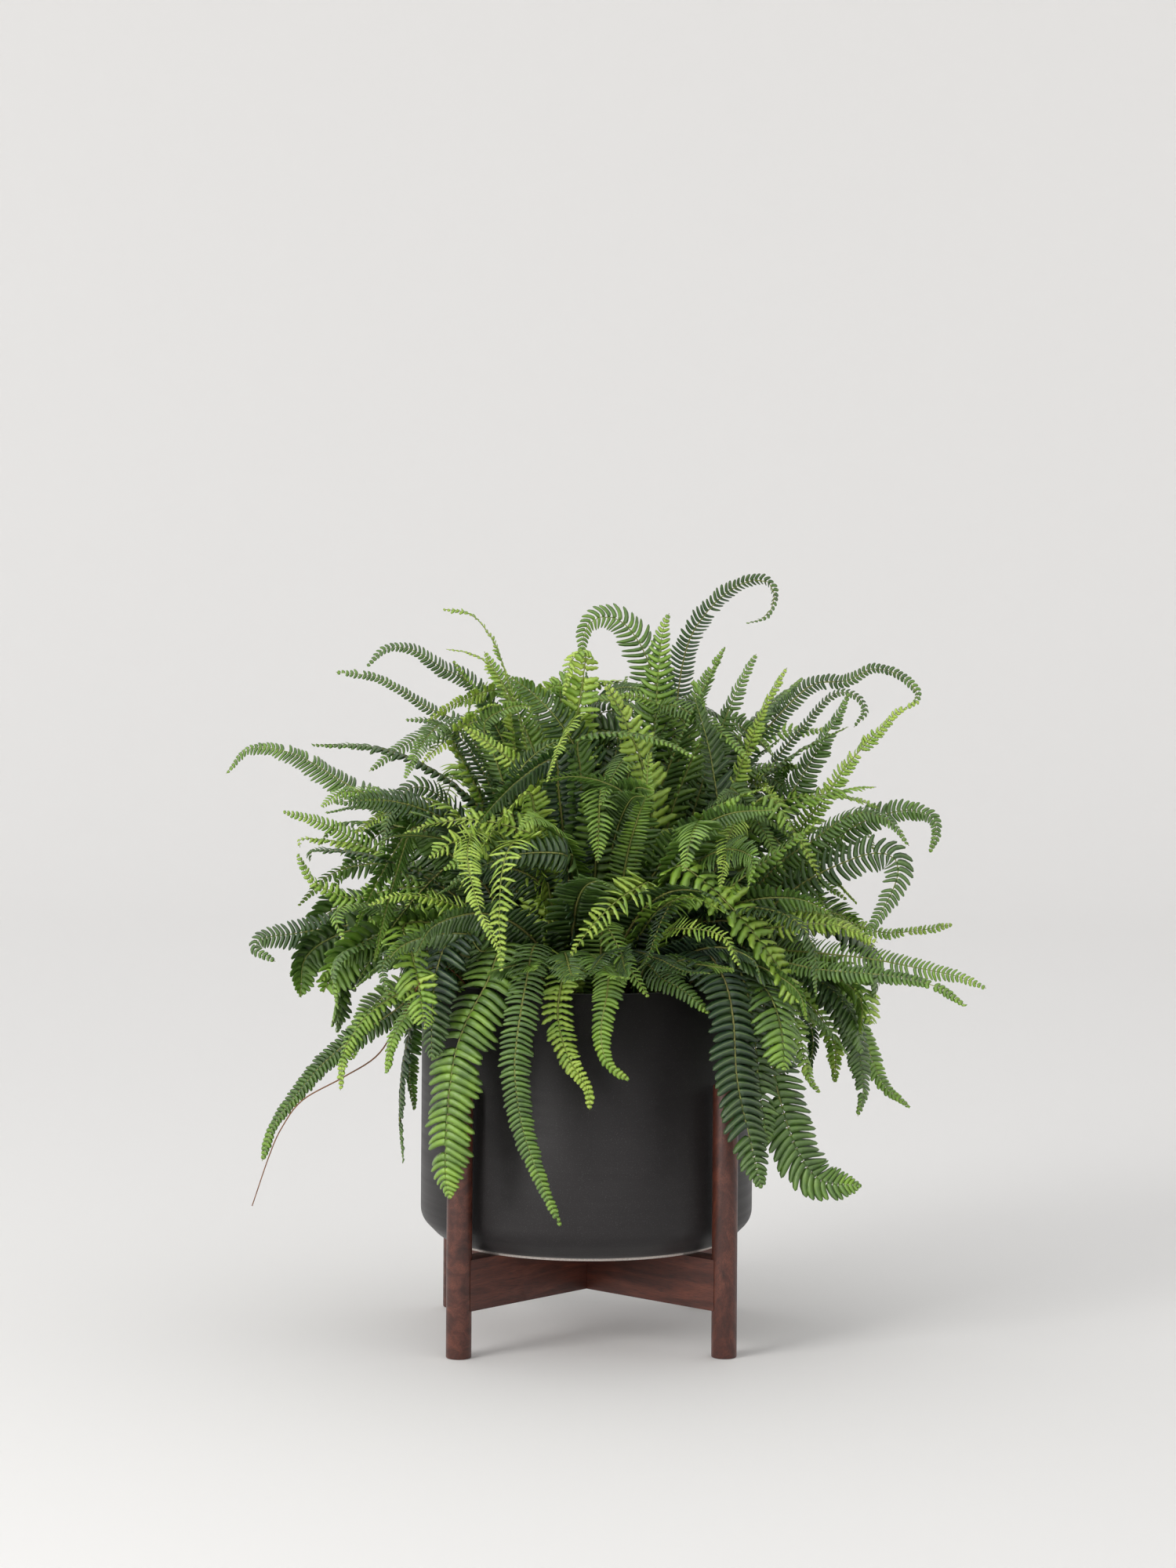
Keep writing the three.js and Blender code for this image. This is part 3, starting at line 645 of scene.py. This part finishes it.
def leaflet_template(outline, mirrored):
    """One leaflet, a thin closed blade of length and breadth 1 along +Y, with an ear at its base on the side
    towards the frond's tip, and edges below its own midrib. Its map runs along it and across it."""
    rings = len(outline) - 1
    work = bmesh.new()
    bmesh.ops.create_uvsphere(work, u_segments=4, v_segments=rings, radius=1)
    bmesh.ops.rotate(work, verts=work.verts, cent=(0, 0, 0), matrix=Matrix.Rotation(-math.pi / 2, 3, "X"))
    layer = work.loops.layers.uv.new("leaflet")
    spots = {}
    for vert in work.verts:
        angle = math.acos(max(-1.0, min(1.0, -vert.co.y)))
        ring = round(angle / math.pi * rings)
        reach = math.sin(angle)
        middle = ring in (0, rings)
        across = 0.0 if middle else vert.co.x / reach
        above = 0.0 if middle else vert.co.z / reach
        t, half = outline[ring]
        ear = EAR * math.exp(-(((t - EAR_PLACE) / EAR_PLACE) ** 2)) if across > 0.5 else 0.0
        spots[vert] = (t, 0.5 + 0.5 * across)
        vert.co = (across * (half + ear), t, LEAFLET_THICKNESS * above - LEAFLET_FOLD * abs(across) * half)
    for face in work.faces:
        for loop in face.loops:
            loop[layer].uv = spots[loop.vert]
    if mirrored:
        bmesh.ops.scale(work, vec=(1, -1, 1), verts=work.verts)
        bmesh.ops.reverse_faces(work, faces=work.faces)
    template = bpy.data.meshes.new("leaflet_template")
    work.to_mesh(template)
    work.free()
    return template


def leafy_share(t, fullness, tip):
    """A leaflet's length as a share of the longest, at t of the blade. A full frond stays wide for longer."""
    rise = min(1.0, t / 0.2)
    widening = 0.5 + 0.5 * rise * rise * (3 - 2 * rise)
    narrowing = max(0.0, 1 - t**fullness) ** 0.8
    return max(tip * min(1.0, 0.3 + 12 * (1 - t)), widening * narrowing)


def add_leaflets(work, spine, width, age, templates, rng):
    """The leaflets of a flat frond, two by two along the midrib. A young frond's are wide apart, lobed and
    crinkled, and a hanging frond's overlap like shingles. They lean more, the nearer they are to the tip, and
    each arches up before it droops."""
    ages = work.verts.layers.float["age"]
    start = spine.length * STIPE_SHARE
    blade = spine.length - start
    young = age < YOUNG
    hanging = spine.points[-1].z < RIM_HEIGHT
    full = hanging and width > BROAD
    pitch = width * (rng.uniform(0.15, 0.18) if young else rng.uniform(0.118, 0.15))
    breadth = pitch * (rng.uniform(1.02, 1.2) if hanging else rng.uniform(0.72, 0.95))
    fullness = rng.uniform(6, 9) if full else rng.uniform(1.8, 3.4)
    tip = max(rng.uniform(0.14, 0.24), TIP_WIDTH / width)
    hang = rng.uniform(0.02, 0.2)
    tip_up = math.radians(rng.uniform(10, 26))
    unruly = 2.0 if young else 1.0
    seed = rng.uniform(0, 100)
    x = start
    while x < spine.length - BARE_TIP:
        t = (x - start) / blade
        share = leafy_share(t, fullness, tip)
        step = max(CLOSEST, pitch * (0.4 + 0.6 * share))
        for side, template in zip((1, -1), templates):
            if rng.random() < MISSING:
                continue
            before = len(work.verts)
            work.from_mesh(template)
            work.verts.ensure_lookup_table()
            wave = unruly * noise.noise(Vector((x / WAVE_LENGTH, seed, side)))
            long = width / 2 * share * (1 + 0.14 * wave) * rng.uniform(0.92, 1.08)
            broad = breadth / pitch * step * rng.uniform(0.88, 1.08)
            lean = side * math.radians(6 + 28 * t**1.6 + unruly * (6 * wave + rng.uniform(-4, 4)))
            shingle = tip_up + unruly * math.radians(9 * wave + rng.uniform(-8, 8))
            turn = Matrix.Rotation(-lean, 3, "Z") @ Matrix.Rotation(-shingle, 3, "Y")
            droop = hang + unruly * (0.1 * wave + rng.uniform(-0.06, 0.06))
            tone = age * (1 - 0.55 * t**5) + 0.05 * wave + rng.uniform(-0.06, 0.06)
            for vert in work.verts[before:]:
                along = abs(vert.co.y)
                curve = 0.14 * long * (along - along**2 * 1.6)
                spot = turn @ Vector((vert.co.x * broad - curve, vert.co.y * long, vert.co.z * broad))
                spot.z += long * (0.16 * along - (0.16 + 2 * droop) * along**2)
                vert.co = spot + Vector((x, 0, ABOVE_MIDRIB))
                vert[ages] = tone
        x += step


def add_midrib(work, spine, age):
    """The stalk and midrib of a flat frond. Their age rises towards the foot, where the stalk is brown."""
    ages = work.verts.layers.float["age"]
    corners, faces = rod(work, spine.length, MIDRIB_THICK, MIDRIB_THIN, MIDRIB_SIDES, MIDRIB_CUTS)
    for vert in corners:
        t = vert.co.x / spine.length
        vert[ages] = 0.35 + 0.5 * age * (1 - t) + 0.25 * max(0.0, 1 - t / 0.15)
    for face in faces:
        face.material_index = 1


def make_frond(name, age, width, roll, twist, path, leaflets, materials, replaces=()):
    """One frond. Of its leaflets there are two pairs of templates: grown ones, and young ones."""
    rng = random.Random(name)
    spine = Spine(growth_points(path), roll, twist)
    work = bmesh.new()
    work.verts.layers.float.new("age")
    work.loops.layers.uv.new("leaflet")
    add_leaflets(work, spine, width * MM, age, leaflets[age < YOUNG], rng)
    add_midrib(work, spine, age)
    for vert in work.verts:
        vert.co = spine.carry(vert.co)
    finished(name, work, materials, replaces)


# More fronds in the same form, which stand among the named ones and have no node of their own.
COMPANIONS = [
    ["broad_left", 0.8, 54, 0, 0, [2, -10],
     [6, -45, 350], [4, -62, 418], [-18, -72, 464], [-42, -78, 492], [-62, -82, 506]],
    ["dark_centre", 0.85, 50, 0, 0, [34, -14],
     [70, -40, 320], [98, -62, 370], [92, -72, 440], [78, -80, 492]],
    ["upper_right", 0.6, 44, 70, 0, [30, -6],
     [70, -20, 370], [92, -28, 442], [106, -32, 480], [118, -36, 508], [126, -38, 522]],
    ["upper_right_young", 0.08, 28, 60, 0, [44, -8],
     [90, -22, 370], [111, -34, 426], [124, -38, 460], [136, -42, 490], [149, -46, 512]],
    ["comb_right", 0.35, 44, 50, 0, [44, -40],
     [80, -85, 320], [104, -108, 350], [136, -122, 376], [168, -130, 402]],
    ["silver_left", 0.6, 44, -40, 0, [20, -40],
     [36, -90, 380], [30, -118, 416], [10, -128, 430], [-14, -132, 434], [-36, -134, 430]],
    ["rim_middle", 0.35, 36, 0, 0, [10, -60],
     [10, -110, 318], [14, -140, 324], [28, -158, 300], [44, -166, 276]],
    ["rim_right_young", 0.15, 34, 40, 0, [30, -56],
     [52, -110, 312], [70, -146, 324], [98, -160, 320], [110, -166, 300]],
    ["right_young", 0.1, 40, 50, 0, [64, -36],
     [110, -80, 310], [146, -104, 322], [182, -114, 324], [214, -118, 312]],
    ["hang_left_dark", 1.0, 46, 0, 0, [-46, -50],
     [-78, -92, 322], [-98, -120, 318], [-110, -136, 296], [-114, -144, 262], [-114, -148, 228]],
    ["dark_left_up", 0.9, 34, -50, 0, [-30, -10],
     [-60, -20, 380], [-92, -26, 448], [-118, -30, 468], [-140, -32, 470]],
    ["left_shoulder", 0.7, 40, -50, 0, [-50, -20],
     [-84, -40, 370], [-112, -52, 412], [-134, -58, 420], [-150, -60, 400], [-156, -62, 372]],
    ["right_up", 0.7, 40, 60, 0, [60, -6],
     [118, -14, 370], [152, -20, 412], [172, -24, 446], [188, -26, 474], [197, -28, 492]],
    ["bright_left_front", 0.05, 46, 0, 20, [-20, -50],
     [-36, -100, 360], [-52, -150, 388], [-62, -186, 372], [-64, -204, 336], [-62, -212, 300]],
    ["hang_right_back", 0.75, 46, 0, 0, [56, -46],
     [96, -92, 306], [114, -124, 286], [122, -140, 246], [126, -148, 206], [132, -152, 168]],
    ["young_short", 0.05, 26, -30, 0, [-30, 0],
     [-52, -6, 400], [-62, -10, 480], [-76, -12, 510], [-92, -12, 520], [-110, -12, 523]],
    ["thin_right", 0.8, 20, 40, 0, [58, 10],
     [120, 20, 400], [170, 22, 470], [190, 20, 490], [206, 18, 488], [213, 18, 476], [204, 18, 464]],
    ["bright_right_tip", 0.02, 32, 50, 0, [66, -10],
     [130, -40, 318], [168, -56, 322], [196, -64, 316], [214, -66, 304]],
    ["bright_left_slope", 0.08, 36, 30, 0, [-10, -20],
     [-20, -60, 380], [-44, -84, 428], [-70, -92, 452], [-94, -96, 468]],
    ["right_shoulder", 0.6, 38, 50, 0, [66, -24],
     [130, -56, 350], [170, -66, 384], [200, -70, 404], [226, -72, 398], [240, -74, 380]],
]

# Rings of fronds that fill the plant, from its middle outwards: how many, how far their roots are from the
# middle, the angle they start at, their length, how far they bend over, and their leafy width.
# Millimetres and degrees.
FILLING = [
    (14, 12, 84, 284, 50, 46),
    (20, 28, 74, 288, 62, 48),
    (21, 42, 63, 276, 80, 46),
    (21, 54, 51, 246, 92, 44),
    (21, 66, 38, 214, 92, 42),
    (20, 76, 26, 178, 92, 38),
]
FILLING_STEPS = 6

# Short fronds at the surface of the plant, a dome, which curl this way and that. Millimetres.
TANGLE = 84
TANGLE_ROOTS = 60  # from the middle, in plan
DOME_MIDDLE = Vector((4, 0, 308))
DOME_REACH = Vector((182, 172, 206))
GOLDEN = 0.618  # of a turn from each to the next, so that they spread evenly

# What keeps both kinds in shape. Millimetres.
START_HEIGHT = 262
FURTHEST = 222  # from the middle, in plan
FRONT = -90
FRONT_HALF_WIDTH = 112
OVER_RIM = 296  # the height at which foliage passes over the rim in front


def within_plant(at):
    """Keeps a point near enough to the middle, and above the rim in front, so that the planter shows."""
    at.xy *= min(1.0, FURTHEST / at.xy.length)
    if at.y < FRONT and abs(at.x) < FRONT_HALF_WIDTH:
        at.z = max(at.z, OVER_RIM)


def filling_fronds(rng):
    """The rings' fronds, each with its name, age, width, roll, twist and path."""
    for number, (count, root, launch, length, bend, width) in enumerate(FILLING):
        for i in range(count):
            heading = math.radians(360 * (i + 0.5 * (number % 2)) / count + rng.uniform(-9, 9))
            steep = math.radians(launch + rng.uniform(-10, 10))
            bow = math.radians(bend + rng.uniform(-28, 34))
            stride = length * rng.uniform(0.78, 1.06) / FILLING_STEPS
            sway = math.radians(rng.uniform(-50, 50))
            at = Vector((root * math.cos(heading), root * math.sin(heading), START_HEIGHT))
            path = [[at.x, at.y]]
            for step in range(1, FILLING_STEPS + 1):
                share = step / FILLING_STEPS
                climb = steep - bow * share**1.6
                facing = heading + sway * share
                level = Vector((math.cos(facing), math.sin(facing), 0)) * math.cos(climb)
                at = at + (level + Vector((0, 0, math.sin(climb)))) * stride
                within_plant(at)
                path.append([at.x, at.y, at.z])
            age = min(1.0, max(0.05, rng.gauss(0.58, 0.24)))
            leafy = width * rng.uniform(0.78, 1.12)
            yield f"filling_{number}_{i:02d}", age, leafy, rng.uniform(-40, 40), rng.uniform(-60, 60), path


def tangle_fronds(rng):
    """The short curling fronds, given in the same way. Each rises to a spot on the dome and curls away."""
    for i in range(TANGLE):
        heading = 2 * math.pi * (i * GOLDEN + rng.uniform(-0.04, 0.04))
        lift = math.radians(rng.uniform(-4, 74))
        out = Vector((math.cos(heading) * math.cos(lift), math.sin(heading) * math.cos(lift), math.sin(lift)))
        root = Vector((out.x * TANGLE_ROOTS, out.y * TANGLE_ROOTS, START_HEIGHT))
        spot = DOME_MIDDLE + out * DOME_REACH * rng.uniform(0.78, 1.0)
        away = Vector((rng.uniform(-1, 1), rng.uniform(-1, 1), rng.uniform(-1.1, 0.5)))
        away = (away - out * away.dot(out)).normalized()
        length = rng.uniform(50, 100)
        path = [[root.x, root.y]]
        for share in (0.5, 0.8, 1.0):
            path.append(list(root.lerp(spot, share) + Vector((0, 0, 22 * math.sin(math.pi * share)))))
        for share in (0.4, 0.75, 1.0):
            sink = Vector((0, 0, -0.45 * length * share**2))
            at = spot + (away * share + out * 0.35 * share) * length + sink
            within_plant(at)
            path.append(list(at))
        age = rng.choice((0.08, 0.2, 0.35, 0.5, 0.6, 0.7, 0.9))
        yield f"tangle_{i:02d}", age, rng.uniform(30, 46), rng.uniform(-60, 60), rng.uniform(-90, 90), path


def leaflet_pair(outline):
    """The leaflets of a frond's two sides."""
    return [leaflet_template(outline, mirrored) for mirrored in (False, True)]


def make_fern():
    """All the fronds. Those with no node have coarser leaflets, apart from the companions."""
    materials = [leaflet_green(), midrib_green()]
    young = leaflet_pair(LEAFLET_OUTLINE_YOUNG)
    fine = [leaflet_pair(LEAFLET_OUTLINE), young]
    coarse = [leaflet_pair(LEAFLET_OUTLINE_COARSE), young]
    for name, age, width, roll, twist, *path in FRONDS:
        make_frond(f"leafy_{name}", age, width, roll, twist, path, fine, materials, [f"frond_{name}"])
    for name, age, width, roll, twist, *path in COMPANIONS:
        make_frond(name, age, width, roll, twist, path, fine, materials)
    for growth in (filling_fronds(random.Random(11)), tangle_fronds(random.Random(5))):
        for name, age, width, roll, twist, path in growth:
            make_frond(name, age, width, roll, twist, path, coarse, materials)


def make_runner():
    """The thin bare runner that hangs at the left."""
    spine = Spine(growth_points(RUNNER_PATH))
    work = bmesh.new()
    rod(work, spine.length, RUNNER_RADIUS, RUNNER_RADIUS / 2, RUNNER_SIDES, RUNNER_CUTS)
    for vert in work.verts:
        vert.co = spine.carry(vert.co)
    bark = rhizome_bark("runner_skin", rgb(96, 62, 40), rgb(150, 108, 74))
    finished("runner_thread", work, [bark], ["runner"])


# ---- stage, light, camera ----------------------------------------------------------------------

SWEEP_RADIUS = 4.8
SWEEP_HEIGHT = 3.3
SWEEP_SIDES = 96
TURN_RADIUS = 1.6  # of the curve from the floor up to the wall
TURN_STEPS = 24
OVER_FLOOR = Vector((0, 0, 2))  # a point that every face of the sweep looks at

CAMERA_PLACE = (-0.0024, -3.157, 0.627)
CAMERA_ROLL = -0.4  # degrees
LENS = 94.4
SHIFT = -0.172


def make_stage():
    """A pale round floor that turns up into a wall on every side."""
    turn = []
    for i in range(TURN_STEPS + 1):
        angle = math.radians(90 * i / TURN_STEPS)
        radius = SWEEP_RADIUS - TURN_RADIUS * (1 - math.sin(angle))
        turn.append((radius, TURN_RADIUS * (1 - math.cos(angle))))
    work = turned([(0, 0), *turn, (SWEEP_RADIUS, SWEEP_HEIGHT)], SWEEP_SIDES)
    away = [face for face in work.faces if face.normal.dot(face.calc_center_median() - OVER_FLOOR) > 0]
    bmesh.ops.reverse_faces(work, faces=away)
    white = Finish("studio_white", base_color=rgb(241, 240, 239), roughness=0.8).material
    smooth_object("studio_sweep", work, [white])


def make_light(name, place, target, size, watts, colour=(1, 1, 1)):
    """A soft rectangular light that faces its target."""
    light = bpy.data.lights.new(name, "AREA")
    light.shape = "RECTANGLE"
    light.size, light.size_y = size
    light.energy = watts
    light.color = colour
    lamp = bpy.data.objects.new(name, light)
    bpy.context.collection.objects.link(lamp)
    lamp.location = place
    lamp.rotation_euler = (Vector(target) - Vector(place)).to_track_quat("-Z", "Y").to_euler()


def make_lights():
    """A bright even sky, a window at the left in front, and faint lights on the wall and the front."""
    world = bpy.data.worlds.new("soft_sky")
    bpy.context.scene.world = world
    world.use_nodes = True
    sky = world.node_tree.nodes["Background"]
    sky.inputs["Color"].default_value = (1.0, 1.0, 1.0, 1)
    sky.inputs["Strength"].default_value = 0.76
    make_light("window", (-2.4, -2.3, 1.6), (0, 0, 0.3), (1.5, 1.5), 62, (1.0, 0.99, 0.97))
    make_light("wall_wash", (-3.0, 2.6, 2.2), (-1.0, 4.6, 0.8), (1.2, 1.2), 7)
    make_light("front_fill", (0.9, -3.6, 0.9), (0, 0, 0.25), (2.4, 1.6), 10)
    bpy.context.scene.view_settings.view_transform = "Standard"


def make_camera():
    """A level camera, lowered to the object by its lens shift, so that uprights stay parallel."""
    lens = bpy.data.cameras.new("camera")
    lens.sensor_width = 36
    lens.lens = LENS
    lens.shift_y = SHIFT
    camera = bpy.data.objects.new("camera", lens)
    bpy.context.collection.objects.link(camera)
    camera.location = CAMERA_PLACE
    camera.rotation_euler = (math.radians(90), math.radians(CAMERA_ROLL), 0)
    bpy.context.scene.camera = camera


make_camera()
finish_stand()
make_planter()
make_soil()
make_crown()
make_fern()
make_runner()
make_stage()
make_lights()
